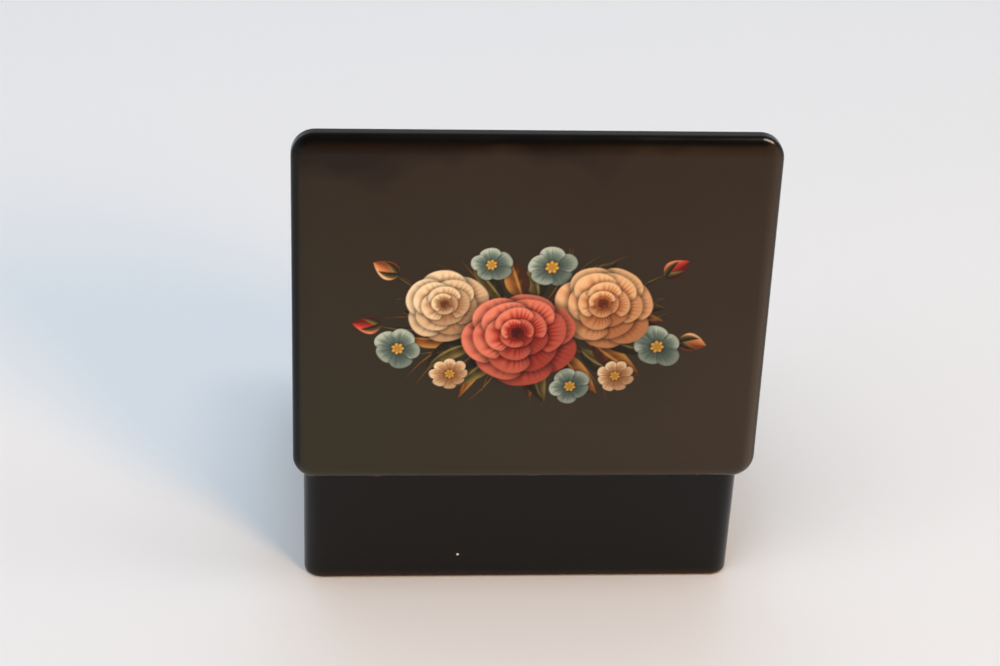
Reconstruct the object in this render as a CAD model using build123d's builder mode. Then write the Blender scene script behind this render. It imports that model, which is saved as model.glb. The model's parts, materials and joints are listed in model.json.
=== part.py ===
from build123d import *
import os
from math import cos, radians, sin, tan

# A papier-mache lacquer box that stands open: wound walls on a let-in base, and an overhanging lid on
# two small brass butt hinges. Millimetres, +Z up, +X across the width, hinges at the back (+Y).
# The origin is on the table, under the middle of the box.

# Lid board
lid_width = 100.0
lid_depth = 80.0
lid_thickness = 5.2
lid_corner_radius = 5.0
lid_top_edge_radius = 2.6
lid_under_edge_radius = 0.8
lid_overhang = 2.2
lid_open_angle = 86.0

# Walls, wound as one tube
rim_height = 32.0
wall_thickness = 4.5
outer_corner_radius = 4.2
inner_corner_radius = 2.0
rim_edge_radius = 0.5
foot_edge_radius = 1.0

# Base board, let into a rebate around the foot of the walls
base_thickness = 4.0
rebate_width = 2.0
glue_gap = 0.05

# Panel under the lid that drops between the walls
insert_thickness = 1.6
insert_clearance = 0.8
insert_edge_radius = 0.6

# Hinges
hinge_length = 16.0
hinge_end_margin = 13.8
knuckle_count = 5
knuckle_gap = 0.12
leaf_thickness = 0.5
leaf_margin = 0.7
leaf_fit = 0.05
pin_diameter = 0.9
pin_clearance = 0.04
pin_end_length = 0.3
barrel_clearance = 0.15
axis_setback = 0.2
lid_gap = 0.2

# Nails through the leaves
nail_diameter = 0.8
nail_head_diameter = 1.5
nail_head_angle = 90.0
nail_fit = 0.02
nail_point_length = 0.8
body_nail_length = 6.0
lid_nail_length = 3.6
nails_per_leaf = 2

# Sizes that follow from those above
body_width = lid_width - 2 * lid_overhang
body_depth = lid_depth - 2 * lid_overhang
cavity_width = body_width - 2 * wall_thickness
cavity_depth = body_depth - 2 * wall_thickness
pin_radius = pin_diameter / 2
knuckle_bore = pin_radius + pin_clearance
barrel_radius = knuckle_bore + leaf_thickness
groove_radius = barrel_radius + barrel_clearance
groove_length = hinge_length + 2 * (pin_end_length + barrel_clearance)
leaf_reach = axis_setback + wall_thickness - leaf_margin
strip_width = leaf_reach - groove_radius
nail_line = groove_radius + strip_width / 2
nail_pitch = hinge_length / nails_per_leaf
nail_radius = nail_diameter / 2
nail_head_radius = nail_head_diameter / 2
nail_head_depth = (nail_head_radius - nail_radius) / tan(radians(nail_head_angle / 2))
axis_y = body_depth / 2 + axis_setback
axis_z = rim_height + lid_gap / 2
knuckle_pitch = hinge_length / knuckle_count
knuckle_length = knuckle_pitch - knuckle_gap
hinge_x = (body_width - hinge_length) / 2 - hinge_end_margin
sides = {"left": -hinge_x, "right": hinge_x}

# The lid's own frame lies on the hinge axis: x across, y to the back of the closed lid,
# z out of its painted face
lid_normal = (0, sin(radians(lid_open_angle)), cos(radians(lid_open_angle)))
lid_frame = Plane(origin=(0, axis_y, axis_z), x_dir=(1, 0, 0), z_dir=lid_normal)
lid_axis = Axis(lid_frame.origin, lid_frame.z_dir)
lid_middle = lid_overhang - axis_setback - lid_depth / 2


def on_lid(y, z):
    """A plane parallel to the lid at y and z of the lid's own frame."""
    return Plane(lid_frame.from_local_coords((0, y, z)), x_dir=lid_frame.x_dir, z_dir=lid_frame.z_dir)


def body_face(x):
    """The rim under a hinge: z into the wall, y from the hinge axis to the inside of the box."""
    return Plane(origin=(x, axis_y, rim_height), x_dir=(1, 0, 0), z_dir=(0, 0, -1))


def lid_face(x):
    """The lid's underside at a hinge: z into the lid, y from the hinge axis to the lid's free edge."""
    origin = lid_frame.from_local_coords((x, 0, lid_gap / 2))
    return Plane(origin=origin, x_dir=(-1, 0, 0), z_dir=lid_normal)


def barrel_plane(x):
    """A section across the hinge axis at x."""
    return Plane(origin=(x, axis_y, axis_z), x_dir=(0, 1, 0), z_dir=(1, 0, 0))


def nail_points():
    """Where a leaf's nails stand, in the plane of the face that it lies on."""
    first = -nail_pitch * (nails_per_leaf - 1) / 2
    return [(first + nail_pitch * i, nail_line) for i in range(nails_per_leaf)]


def knuckle_starts(indices):
    """Where the knuckles of one leaf begin along the hinge, from its middle."""
    return [knuckle_pitch * i - hinge_length / 2 + knuckle_gap / 2 for i in indices]


body_knuckles = range(0, knuckle_count, 2)
lid_knuckles = range(1, knuckle_count, 2)


def cut_hinge_seat(face, x, nail_length):
    """Cuts a leaf's recess, its nail holes and the groove for the barrel from the part in hand."""
    with BuildSketch(face) as recess:
        with Locations((0, (leaf_reach + leaf_fit) / 2)):
            Rectangle(hinge_length + 2 * leaf_fit, leaf_reach + leaf_fit)
    extrude(recess.sketch, amount=leaf_thickness, mode=Mode.SUBTRACT)
    with BuildSketch(face) as nail_holes:
        with Locations(*nail_points()):
            Circle(nail_radius + nail_fit)
    extrude(nail_holes.sketch, amount=nail_length + nail_fit, mode=Mode.SUBTRACT)
    with BuildSketch(barrel_plane(x - groove_length / 2)) as groove:
        Circle(groove_radius)
    extrude(groove.sketch, amount=groove_length, mode=Mode.SUBTRACT)


def hinge_leaf(face, x, indices, bore):
    """One brass leaf: a flat strip on the face, tabs to its own knuckles, the bore and the nail holes."""
    starts = knuckle_starts(indices)
    outward = Plane(origin=face.origin, x_dir=face.x_dir, z_dir=-face.z_dir)
    with BuildPart() as leaf:
        with BuildSketch(face):
            with Locations((0, groove_radius + strip_width / 2)):
                Rectangle(hinge_length, strip_width)
            with Locations(*[(start + knuckle_length / 2, groove_radius / 2) for start in starts]):
                Rectangle(knuckle_length, groove_radius)
        extrude(amount=leaf_thickness)
        for start in starts:
            with BuildSketch(barrel_plane(x + start)):
                Circle(barrel_radius)
            extrude(amount=knuckle_length)
        with BuildSketch(barrel_plane(x - hinge_length / 2)):
            Circle(bore)
        extrude(amount=hinge_length, mode=Mode.SUBTRACT)
        with Locations(outward):
            with Locations(*[(px, -py) for px, py in nail_points()]):
                CounterSinkHole(
                    nail_radius + nail_fit, nail_head_radius + nail_fit, counter_sink_angle=nail_head_angle
                )
    return leaf


def add_nails(face, nail_length):
    """Adds one leaf's nails to the part in hand: countersunk head, straight shank, tapered point."""
    for px, py in nail_points():
        head = face.from_local_coords((px, py, 0))
        with BuildSketch(Plane(origin=head, x_dir=face.x_dir, z_dir=-face.y_dir)) as profile:
            with BuildLine():
                Polyline(
                    (0, 0),
                    (nail_head_radius, 0),
                    (nail_radius, nail_head_depth),
                    (nail_radius, nail_length - nail_point_length),
                    (0, nail_length),
                    close=True,
                )
            make_face()
        revolve(profile.sketch, axis=Axis(head, face.z_dir))


os.makedirs("parts", exist_ok=True)

# Walls: one wound tube with rounded corners, a rebate for the base and hinge seats in its back rim
with BuildPart() as wall_tube:
    with BuildSketch():
        RectangleRounded(body_width, body_depth, outer_corner_radius)
    extrude(amount=rim_height)
    fillet(wall_tube.faces().sort_by(Axis.Z)[0].edges(), foot_edge_radius)
    fillet(wall_tube.faces().sort_by(Axis.Z)[-1].edges(), rim_edge_radius)
    with BuildSketch():
        RectangleRounded(cavity_width, cavity_depth, inner_corner_radius)
    extrude(amount=rim_height, mode=Mode.SUBTRACT)
    fillet(wall_tube.faces().sort_by(Axis.Z)[-1].inner_wires()[0].edges(), rim_edge_radius)
    with BuildSketch():
        RectangleRounded(
            cavity_width + 2 * rebate_width, cavity_depth + 2 * rebate_width, inner_corner_radius + rebate_width
        )
    extrude(amount=base_thickness, mode=Mode.SUBTRACT)
    for x in sides.values():
        cut_hinge_seat(body_face(x), x, body_nail_length)
wall_tube.part.label = "wall_tube"
export_step(wall_tube.part, "parts/wall_tube.step")

# Base board, flush with the foot of the walls
with BuildPart() as base_board:
    with BuildSketch():
        RectangleRounded(
            cavity_width + 2 * (rebate_width - glue_gap),
            cavity_depth + 2 * (rebate_width - glue_gap),
            inner_corner_radius + rebate_width - glue_gap,
        )
    extrude(amount=base_thickness)
base_board.part.label = "base_board"
export_step(base_board.part, "parts/base_board.step")

# Lid board, with a broad round that rolls over the painted face's edge and a small one underneath
with BuildPart() as lid_board:
    with BuildSketch(on_lid(lid_middle, lid_gap / 2)):
        RectangleRounded(lid_width, lid_depth, lid_corner_radius)
    extrude(amount=lid_thickness)
    fillet(lid_board.faces().sort_by(lid_axis)[-1].edges(), lid_top_edge_radius)
    fillet(lid_board.faces().sort_by(lid_axis)[0].edges(), lid_under_edge_radius)
    for x in sides.values():
        cut_hinge_seat(lid_face(x), x, lid_nail_length)
lid_board.part.label = "lid_board"
export_step(lid_board.part, "parts/lid_board.step")

# Locating panel, glued under the lid
with BuildPart() as lid_insert:
    with BuildSketch(on_lid(lid_middle, lid_gap / 2)):
        RectangleRounded(
            cavity_width - 2 * insert_clearance, cavity_depth - 2 * insert_clearance, inner_corner_radius
        )
    extrude(amount=-insert_thickness)
    fillet(lid_insert.faces().sort_by(lid_axis)[0].edges(), insert_edge_radius)
lid_insert.part.label = "lid_insert"
export_step(lid_insert.part, "parts/lid_insert.step")

# Hinges: two leaves and a pin on each side
for side, x in sides.items():
    body_leaf = hinge_leaf(body_face(x), x, body_knuckles, pin_radius)
    body_leaf.part.label = f"{side}_body_leaf"
    export_step(body_leaf.part, f"parts/{side}_body_leaf.step")

    lid_leaf = hinge_leaf(lid_face(x), x, lid_knuckles, knuckle_bore)
    lid_leaf.part.label = f"{side}_lid_leaf"
    export_step(lid_leaf.part, f"parts/{side}_lid_leaf.step")

    with BuildPart() as hinge_pin:
        with BuildSketch(barrel_plane(x - hinge_length / 2 - pin_end_length)):
            Circle(pin_radius)
        extrude(amount=hinge_length + 2 * pin_end_length)
        chamfer(hinge_pin.edges().filter_by(GeomType.CIRCLE), pin_end_length / 2)
    hinge_pin.part.label = f"{side}_hinge_pin"
    export_step(hinge_pin.part, f"parts/{side}_hinge_pin.step")

# Nails, as one group for the walls and one for the lid
with BuildPart() as body_leaf_nails:
    for x in sides.values():
        add_nails(body_face(x), body_nail_length)
body_leaf_nails.part.label = "body_leaf_nails"
export_step(body_leaf_nails.part, "parts/body_leaf_nails.step")

with BuildPart() as lid_leaf_nails:
    for x in sides.values():
        add_nails(lid_face(x), lid_nail_length)
lid_leaf_nails.part.label = "lid_leaf_nails"
export_step(lid_leaf_nails.part, "parts/lid_leaf_nails.step")
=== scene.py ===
import json
import math
from typing import NamedTuple

import bpy
import numpy as np
from bpy.props import FloatProperty, FloatVectorProperty, IntProperty, PointerProperty
from mathutils import Matrix, Vector


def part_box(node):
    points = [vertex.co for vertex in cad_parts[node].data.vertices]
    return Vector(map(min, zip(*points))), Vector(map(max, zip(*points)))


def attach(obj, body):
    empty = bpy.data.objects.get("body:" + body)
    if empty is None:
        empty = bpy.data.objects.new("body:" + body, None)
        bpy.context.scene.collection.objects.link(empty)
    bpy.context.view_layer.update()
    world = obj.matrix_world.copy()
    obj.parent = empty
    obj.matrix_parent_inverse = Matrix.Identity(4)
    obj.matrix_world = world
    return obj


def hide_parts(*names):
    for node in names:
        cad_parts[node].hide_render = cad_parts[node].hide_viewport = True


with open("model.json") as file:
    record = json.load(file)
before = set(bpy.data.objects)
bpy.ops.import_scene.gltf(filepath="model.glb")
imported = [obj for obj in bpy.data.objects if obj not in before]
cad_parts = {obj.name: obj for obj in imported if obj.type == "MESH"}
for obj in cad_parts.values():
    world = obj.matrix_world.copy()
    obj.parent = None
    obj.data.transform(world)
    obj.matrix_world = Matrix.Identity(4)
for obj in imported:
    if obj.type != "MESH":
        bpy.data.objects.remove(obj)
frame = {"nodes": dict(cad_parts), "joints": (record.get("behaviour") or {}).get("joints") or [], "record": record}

bl_info = {
    "name": "Lacquer Box",
    "version": (1, 0, 0),
    "blender": (4, 5, 0),
    "location": "3D View > Sidebar > Lacquer Box",
    "description": "Dresses a papier-mache box in lacquer, paint and brass",
    "category": "Object",
}

MM = 0.001
TAU = 2 * math.pi
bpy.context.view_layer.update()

# Places less than this apart count as one
NEAR = 0.01 * MM

# The lid turns about the hinge pins. Its pieces are shaped with the lid shut, where they lie level, and then
# opened.
HINGE = frame["joints"][0]
PIVOT = Vector(HINGE["pos_m"])
OPEN_ANGLE = math.radians(-HINGE["range_deg"][0])
OPENING = Matrix.Translation(PIVOT) @ Matrix.Rotation(-OPEN_ANGLE, 4, "X") @ Matrix.Translation(-PIVOT)

SUBPARTS = frame["record"]["subparts"]
BRASS_NODES = [part["node"] for part in SUBPARTS if part["material_slot"] == "brass"]
BODY_LEAVES = ("left_body_leaf", "right_body_leaf")
LID_LEAVES = ("left_lid_leaf", "right_lid_leaf")

# Steps of a rounded edge
CORNER_STEPS = 16
ROLL_STEPS = 14
FINE_STEPS = 5
GROOVE_STEPS = 48

# Faces that meet at less than this angle shade as one round
SMOOTH_BELOW = math.radians(35)

# A face whose normal rises by more than this faces up
FACES_UP = 0.5

# The glaze on the lid's rolled edge, in shares of the roll's drop: how far down it reaches, how much further
# at the hinges and at -X, and how long it takes to fade
GLAZE_REACH = 0.35
GLAZE_FURTHER = 0.25
GLAZE_FADE = 0.2

# The painted sheen at -X, a strip of lighter, warmer glaze on the roll that stands in for a band of light.
# In shares of the roll's width: its middle, in from the side, and half width
SHEEN_MIDDLE = 0.25
SHEEN_HALF = 0.4

# Chips along the lid's hinge edge: place along it and half width in millimetres. Then how much lacquer is
# gone, and the middle and half of their height in shares of the roll's drop.
CHIPS = ((32.0, 1.6), (-1.8, 1.2), (-37.6, 0.5))
CHIP_WEAR = 0.8
CHIP_MIDDLE = 0.55
CHIP_HALF = 0.28

# Wear along the foot of the walls: how much lacquer is gone at most, and how high it goes, in radii of the
# foot's round
FOOT_WEAR = 0.16
FOOT_WEAR_HEIGHT = 2.5

# A speck of lint on the back wall: its place across and up, and its radius, in millimetres
LINT_ACROSS = 13.6
LINT_UP = 6.5
LINT_RADIUS = 0.36


def linear(hex_colour):
    """Linear RGB of an sRGB hex colour, by the standard's curve."""
    value = np.array([int(hex_colour[i : i + 2], 16) for i in (1, 3, 5)]) / 255
    return np.where(value <= 0.04045, value / 12.92, ((value + 0.055) / 1.055) ** 2.4)


def length(name, description, millimetres):
    """A size that a user can change."""
    return FloatProperty(name=name, description=description, default=millimetres * MM, min=0, unit="LENGTH")


def colour(name, description, hex_colour):
    """A colour that a user can change."""
    return FloatVectorProperty(
        name=name, description=description, default=tuple(linear(hex_colour)), min=0, max=1, subtype="COLOR"
    )


def angle(name, description, degrees):
    """An angle that a user can change."""
    return FloatProperty(name=name, description=description, default=math.radians(degrees), unit="ROTATION")


def power(name, description, watts):
    """A lamp's power that a user can change."""
    return FloatProperty(name=name, description=description, default=watts, unit="POWER")


class BoxSizes(bpy.types.PropertyGroup):
    """Sizes of the boards that can't be read from the frame."""

    wall: length("Wall", "Thickness of the wound walls", 4.5)
    wall_corner: length("Wall Corner", "Radius of the walls' outer corners", 4.2)
    cavity_corner: length("Cavity Corner", "Radius of the inside corners", 2.0)
    rim_round: length("Rim Round", "Radius along the rim", 0.5)
    foot_round: length("Foot Round", "Radius along the foot of the walls", 1.0)
    glue_gap: length("Glue Gap", "Gap around the base in its rebate", 0.05)
    base_easing: length("Base Easing", "Radius along the lower edge of the base", 0.25)
    lid_corner: length("Lid Corner", "Radius of the lid's corners", 5.0)
    lid_roll: length("Lid Roll", "How far in from its sides the painted face starts to roll over", 4.6)
    lid_roll_drop: length("Lid Roll Drop", "How far down the sides the roll ends", 2.6)
    lid_under_round: length("Lid Under Round", "Radius along the lid's lower edge", 0.8)
    panel_round: length("Panel Round", "Radius along the locating panel's edge", 0.6)
    leaf: length("Leaf", "Thickness of a hinge leaf", 0.5)
    leaf_fit: length("Leaf Fit", "Room around a hinge leaf in its recess", 0.05)
    pin_end: length("Pin End", "How far a hinge pin stands out of its knuckles", 0.3)
    barrel_room: length("Barrel Room", "Room around a hinge barrel in its groove", 0.15)


class SpraySettings(bpy.types.PropertyGroup):
    """The flower spray on the lid."""

    width: length("Width", "Width of the painted field", 76.0)
    height: length("Height", "Height of the painted field", 46.0)
    drop: length("Drop", "How far the field lies towards the hinges from the middle of the lid", 2.5)
    spacing: length("Spacing", "Distance between painted points", 0.2)
    film: length("Film", "Thickness of the paint on the lid", 0.012)
    seed: IntProperty(name="Seed", description="Sets how petals and leaves differ from each other", default=7)


class FinishColours(bpy.types.PropertyGroup):
    """Colours of lacquer, ground, metal, floor and light."""

    black: colour("Black", "Black lacquer", "#0a0908")
    red: colour("Red", "Cinnabar lacquer inside the box", "#8c2115")
    primer: colour("Primer", "Brown primer that shows where lacquer is worn off", "#7a5345")
    dust: colour("Dust", "A speck of lint", "#e6e1d9")
    ground_edge: colour("Edge Ground", "Dark glaze along the left of the lid's free edge", "#1e130b")
    ground_red: colour("Red Ground", "Red-brown glaze towards the lid's free edge", "#2d2216")
    ground_olive: colour("Olive Ground", "Olive glaze at the left, as the picture is looked at", "#302d20")
    ground_warm: colour("Warm Ground", "Brown glaze at the right", "#372e24")
    # Painted sheen: a lighter, warmer glaze along the lid's right edge that stands in for a band of light there
    rubbed: colour("Painted Sheen", "Glaze that is rubbed thin along the right edge", "#4b4439")
    brass: colour("Brass", "Clean sheet brass", "#b08a47")
    tarnish: colour("Tarnish", "Tarnished brass", "#5c4420")
    floor: colour("Floor", "Pale paper under the box", "#e3e3e4")
    sky: colour("Sky", "Daylight from all round", "#f1f4f5")
    daylight: colour("Daylight", "Soft light from above", "#d8f0ff")
    shade: colour("Shade", "Cool soft light from the far side", "#b3deff")
    fill: colour("Fill", "Soft light from the left and the right", "#fff9fa")
    window: colour("Window", "The window that shows in the gloss", "#ffe4c4")
    key: colour("Key", "The warm lamp", "#ffc680")


class StageSettings(bpy.types.PropertyGroup):
    """Camera and light."""

    eye: FloatVectorProperty(
        name="Eye",
        description="Place of the camera",
        default=(41.61 * MM, 437.35 * MM, 311.89 * MM),
        subtype="TRANSLATION",
        unit="LENGTH",
    )
    heading: angle("Heading", "Turn of the camera about the vertical", 174.970)
    dip: angle("Dip", "How far the camera looks down", 31.648)
    roll: angle("Roll", "Turn of the camera about its own line of sight", 2.711)
    lens: FloatProperty(name="Lens", description="Focal length in mm on a 36 mm sensor", default=80.71)
    sky: FloatProperty(name="Sky", description="Strength of the light from all round", default=0.33)
    unlit: FloatProperty(name="Unlit", description="Share of it behind and above the camera", default=0.3)
    key: power("Key", "Power of the warm lamp", 21.0)
    top: power("Top", "Power of the soft light from above", 16.6)
    left: power("Left", "Power of the soft light at the left", 13.5)
    far: power("Far", "Power of the soft light at the far side", 8.5)
    right: power("Right", "Power of the soft light at the right", 5.4)
    window: power("Window", "Power of the window that shows in the gloss", 70.0)


def ramp(low, high, value):
    """0 at low and 1 at high, with a smooth rise between."""
    t = np.clip((value - low) / (high - low), 0, 1)
    return t * t * (3 - 2 * t)


def bell(value, middle, half):
    """1 at the middle, falling to 0 at half to either side."""
    return max(0.0, 1 - abs(value - middle) / half)


def rgba(value):
    """A colour with nothing showing through."""
    return (*value, 1.0)


def per_metre(millimetres):
    """Scale of a pattern whose features are this large."""
    return 1 / (millimetres * MM)


def add_node(tree, kind, inputs=None, **settings):
    """Adds a node with its settings. An input is a value, or another node's output, which is linked to it."""
    node = tree.nodes.new(kind)
    for name, value in settings.items():
        setattr(node, name, value)
    for key, value in (inputs or {}).items():
        if isinstance(value, bpy.types.NodeSocket):
            tree.links.new(value, node.inputs[key])
        else:
            node.inputs[key].default_value = value
    return node


def new_material(name):
    """A material with no nodes but the object coordinates that its patterns read."""
    material = bpy.data.materials.new(name)
    material.use_nodes = True
    tree = material.node_tree
    tree.nodes.clear()
    return material, tree, add_node(tree, "ShaderNodeTexCoord").outputs["Object"]


# Sockets of a colour mix, which has several of the same name
FACTOR, FIRST, SECOND, MIXED = 0, 6, 7, 2

# Size of the patches that rubbing leaves, in millimetres
RUB_PATCH = 1.4


def used(tree, place, surface):
    """What use leaves on a surface's colour: primer that shows along worn edges, and a speck of lint."""
    colours = bpy.context.scene.box_colours
    wear = add_node(tree, "ShaderNodeAttribute", attribute_name="wear")
    rub = add_node(
        tree, "ShaderNodeTexNoise", {"Vector": place, "Scale": per_metre(RUB_PATCH), "Detail": 5.0}
    )
    patchy = add_node(
        tree,
        "ShaderNodeMapRange",
        {"Value": rub.outputs["Fac"], "From Min": 0.3, "From Max": 0.6, "To Min": 0.5},
    )
    bared = add_node(
        tree, "ShaderNodeMath", {0: wear.outputs["Fac"], 1: patchy.outputs["Result"]}, operation="MULTIPLY"
    )
    thin = add_node(
        tree,
        "ShaderNodeMix",
        {FACTOR: bared.outputs[0], FIRST: surface, SECOND: rgba(colours.primer)},
        data_type="RGBA",
    )
    lint_place = Vector((LINT_ACROSS * MM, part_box("wall_tube")[1].y, LINT_UP * MM))
    away = add_node(tree, "ShaderNodeVectorMath", {0: place, 1: lint_place}, operation="DISTANCE")
    lint = add_node(
        tree,
        "ShaderNodeMapRange",
        {"Value": away.outputs["Value"], "From Min": LINT_RADIUS * MM, "From Max": 0.5 * LINT_RADIUS * MM},
    )
    return add_node(
        tree,
        "ShaderNodeMix",
        {FACTOR: lint.outputs["Result"], FIRST: thin.outputs[MIXED], SECOND: rgba(colours.dust)},
        data_type="RGBA",
    ).outputs[MIXED]


# Relief of polished lacquer and size of its handled patches, in millimetres
WAVE_SIZE, WAVE_DEPTH = 9.0, 0.15
GRAIN_SIZE, GRAIN_DEPTH = 0.7, 0.02
HANDLED_PATCH = 14.0

# Roughness of lacquer, from polished to handled patches
POLISHED_GLOSS = (0.15, 0.24)
BRUSHED_GLOSS = (0.28, 0.42)

LACQUER_IOR = 1.5
BLACK_SPECULAR = 0.25
VARNISH_SPECULAR = 0.2


def polished_waves(tree, place):
    """Normal of hand-polished lacquer: slow waves that bend its reflections, and a fine grain."""
    waves = add_node(
        tree, "ShaderNodeTexNoise", {"Vector": place, "Scale": per_metre(WAVE_SIZE), "Detail": 1.0}
    )
    grain = add_node(
        tree, "ShaderNodeTexNoise", {"Vector": place, "Scale": per_metre(GRAIN_SIZE), "Detail": 2.0}
    )
    slow = add_node(
        tree,
        "ShaderNodeBump",
        {"Height": waves.outputs["Fac"], "Strength": 0.25, "Distance": WAVE_DEPTH * MM},
    )
    fine = add_node(
        tree,
        "ShaderNodeBump",
        {
            "Height": grain.outputs["Fac"],
            "Strength": 0.12,
            "Distance": GRAIN_DEPTH * MM,
            "Normal": slow.outputs["Normal"],
        },
    )
    return fine.outputs["Normal"]


def handled_gloss(tree, place, bright, dull):
    """Roughness that drifts between polished and handled patches."""
    smears = add_node(
        tree, "ShaderNodeTexNoise", {"Vector": place, "Scale": per_metre(HANDLED_PATCH), "Detail": 3.0}
    )
    spread = add_node(
        tree,
        "ShaderNodeMapRange",
        {"Value": smears.outputs["Fac"], "From Min": 0.3, "From Max": 0.7, "To Min": bright, "To Max": dull},
    )
    return spread.outputs["Result"]


def lacquer_shader(tree, place, base, specular):
    """A clear hard gloss over a colour, and the material's output."""
    shader = add_node(
        tree,
        "ShaderNodeBsdfPrincipled",
        {
            "Base Color": base,
            "Roughness": handled_gloss(tree, place, *POLISHED_GLOSS),
            "Normal": polished_waves(tree, place),
            "IOR": LACQUER_IOR,
            "Specular IOR Level": specular,
        },
    )
    add_node(tree, "ShaderNodeOutputMaterial", {"Surface": shader.outputs["BSDF"]})


def black_lacquer():
    """Black lacquer on papier-mache, rubbed down and polished: a deep gloss with slowly bent reflections."""
    material, tree, place = new_material("black_lacquer_polished")
    black = rgba(bpy.context.scene.box_colours.black)
    lacquer_shader(tree, place, used(tree, place, black), BLACK_SPECULAR)
    return material


# Glazes over the lid's warm ground, lowest first: colour, a direction on the open lid, and the places along
# it where the glaze starts to thin out and where it ends, in millimetres. Drifts of GLAZE_PATCH in size push
# these places back by up to GLAZE_STRAY, and by about half of it on average.
GLAZES = (
    ("ground_olive", (1, 0, 0), 65.0, -20.0),
    ("ground_red", (0, 0, 1), 130.0, 70.0),
    ("ground_edge", (0.1, 0, 1), 134.0, 128.0),
)
GLAZE_PATCH = 30.0
GLAZE_STRAY = 40.0


def glazed_ground(tree, place):
    """Colour of the lid's ground: thin glazes of red-brown, olive and brown that drift into each other."""
    colours = bpy.context.scene.box_colours
    drift = add_node(
        tree, "ShaderNodeTexNoise", {"Vector": place, "Scale": per_metre(GLAZE_PATCH), "Detail": 3.0}
    )
    strayed = add_node(
        tree,
        "ShaderNodeVectorMath",
        {0: drift.outputs["Color"], 1: (GLAZE_STRAY * MM, 0, GLAZE_STRAY * MM), 2: place},
        operation="MULTIPLY_ADD",
    )
    ground = rgba(colours.ground_warm)
    for name, direction, start, end in GLAZES:
        along = add_node(
            tree,
            "ShaderNodeVectorMath",
            {0: strayed.outputs["Vector"], 1: direction},
            operation="DOT_PRODUCT",
        )
        thinned = add_node(
            tree,
            "ShaderNodeMapRange",
            {"Value": along.outputs["Value"], "From Min": start * MM, "From Max": end * MM},
        )
        ground = add_node(
            tree,
            "ShaderNodeMix",
            {FACTOR: thinned.outputs["Result"], FIRST: rgba(getattr(colours, name)), SECOND: ground},
            data_type="RGBA",
        ).outputs[MIXED]
    return ground


def varnished_ground():
    """Oil glazes on black lacquer, varnished and polished: a warm dark ground, black at the edges."""
    material, tree, place = new_material("oil_glaze_varnished")
    colours = bpy.context.scene.box_colours
    painted = add_node(tree, "ShaderNodeAttribute", attribute_name="painted")
    # Painted sheen: a lighter glaze on the -X roll that stands in for a band of light
    rubbed = add_node(tree, "ShaderNodeAttribute", attribute_name="rubbed")
    glaze = add_node(
        tree,
        "ShaderNodeMix",
        {FACTOR: rubbed.outputs["Fac"], FIRST: glazed_ground(tree, place), SECOND: rgba(colours.rubbed)},
        data_type="RGBA",
    )
    surface = add_node(
        tree,
        "ShaderNodeMix",
        {FACTOR: painted.outputs["Fac"], FIRST: rgba(colours.black), SECOND: glaze.outputs[MIXED]},
        data_type="RGBA",
    )
    lacquer_shader(tree, place, used(tree, place, surface.outputs[MIXED]), VARNISH_SPECULAR)
    return material


def varnished_picture():
    """Oil paint in fine strokes on the glazed ground, under its varnish: soft colour under a hard gloss."""
    material, tree, place = new_material("oil_paint_varnished")
    paint = add_node(tree, "ShaderNodeVertexColor", layer_name="paint")
    surface = add_node(
        tree,
        "ShaderNodeMix",
        {FACTOR: paint.outputs["Alpha"], FIRST: glazed_ground(tree, place), SECOND: paint.outputs["Color"]},
        data_type="RGBA",
    )
    lacquer_shader(tree, place, surface.outputs[MIXED], VARNISH_SPECULAR)
    return material


# Brushed lacquer, in millimetres: width and depth of a bristle's mark and size of the dirty patches. Then the
# scale of the pattern along the stroke, and the tones of dirty and of thick lacquer as shares of the red.
BRISTLE_WIDTH, BRISTLE_DEPTH = 1.5, 0.06
DIRT_PATCH = 16.0
ALONG_STROKE = 0.05
DIRTY_TONE, THICK_TONE = 0.45, 1.35


def red_lacquer():
    """Cinnabar lacquer, brushed on and left so: warm red with brush drag, a soft gloss and darker patches."""
    material, tree, place = new_material("cinnabar_lacquer_brushed")
    red = np.array(bpy.context.scene.box_colours.red)
    drag = add_node(tree, "ShaderNodeMapping", {"Vector": place, "Scale": (ALONG_STROKE, 1.0, 1.0)})
    bristles = add_node(
        tree,
        "ShaderNodeTexNoise",
        {"Vector": drag.outputs["Vector"], "Scale": per_metre(BRISTLE_WIDTH), "Detail": 4.0},
    )
    strokes = add_node(
        tree, "ShaderNodeMapRange", {"Value": bristles.outputs["Fac"], "From Min": 0.3, "From Max": 0.7}
    )
    patches = add_node(
        tree, "ShaderNodeTexNoise", {"Vector": place, "Scale": per_metre(DIRT_PATCH), "Detail": 4.0}
    )
    dirt = add_node(
        tree,
        "ShaderNodeMapRange",
        {"Value": patches.outputs["Fac"], "From Min": 0.45, "From Max": 0.8, "To Max": 0.55},
    )
    aged = add_node(
        tree,
        "ShaderNodeMix",
        {FACTOR: dirt.outputs[0], FIRST: rgba(red), SECOND: rgba(red * DIRTY_TONE)},
        data_type="RGBA",
    )
    streaked = add_node(
        tree,
        "ShaderNodeMix",
        {FACTOR: strokes.outputs["Result"], FIRST: aged.outputs[MIXED], SECOND: rgba(red * THICK_TONE)},
        data_type="RGBA",
    )
    bump = add_node(
        tree,
        "ShaderNodeBump",
        {"Height": strokes.outputs["Result"], "Strength": 0.5, "Distance": BRISTLE_DEPTH * MM},
    )
    shader = add_node(
        tree,
        "ShaderNodeBsdfPrincipled",
        {
            "Base Color": streaked.outputs[MIXED],
            "Roughness": handled_gloss(tree, place, *BRUSHED_GLOSS),
            "Normal": bump.outputs["Normal"],
            "IOR": LACQUER_IOR,
        },
    )
    add_node(tree, "ShaderNodeOutputMaterial", {"Surface": shader.outputs["BSDF"]})
    return material


# Filed brass, in millimetres: width and depth of a file line, and size of the tarnished patches. Then the
# scale of the pattern along the lines, and the roughness from clean to tarnished.
FILE_WIDTH, FILE_DEPTH = 0.25, 0.02
TARNISH_PATCH = 2.4
ALONG_FILING = 0.08
BRASS_GLOSS = (0.22, 0.5)


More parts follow.
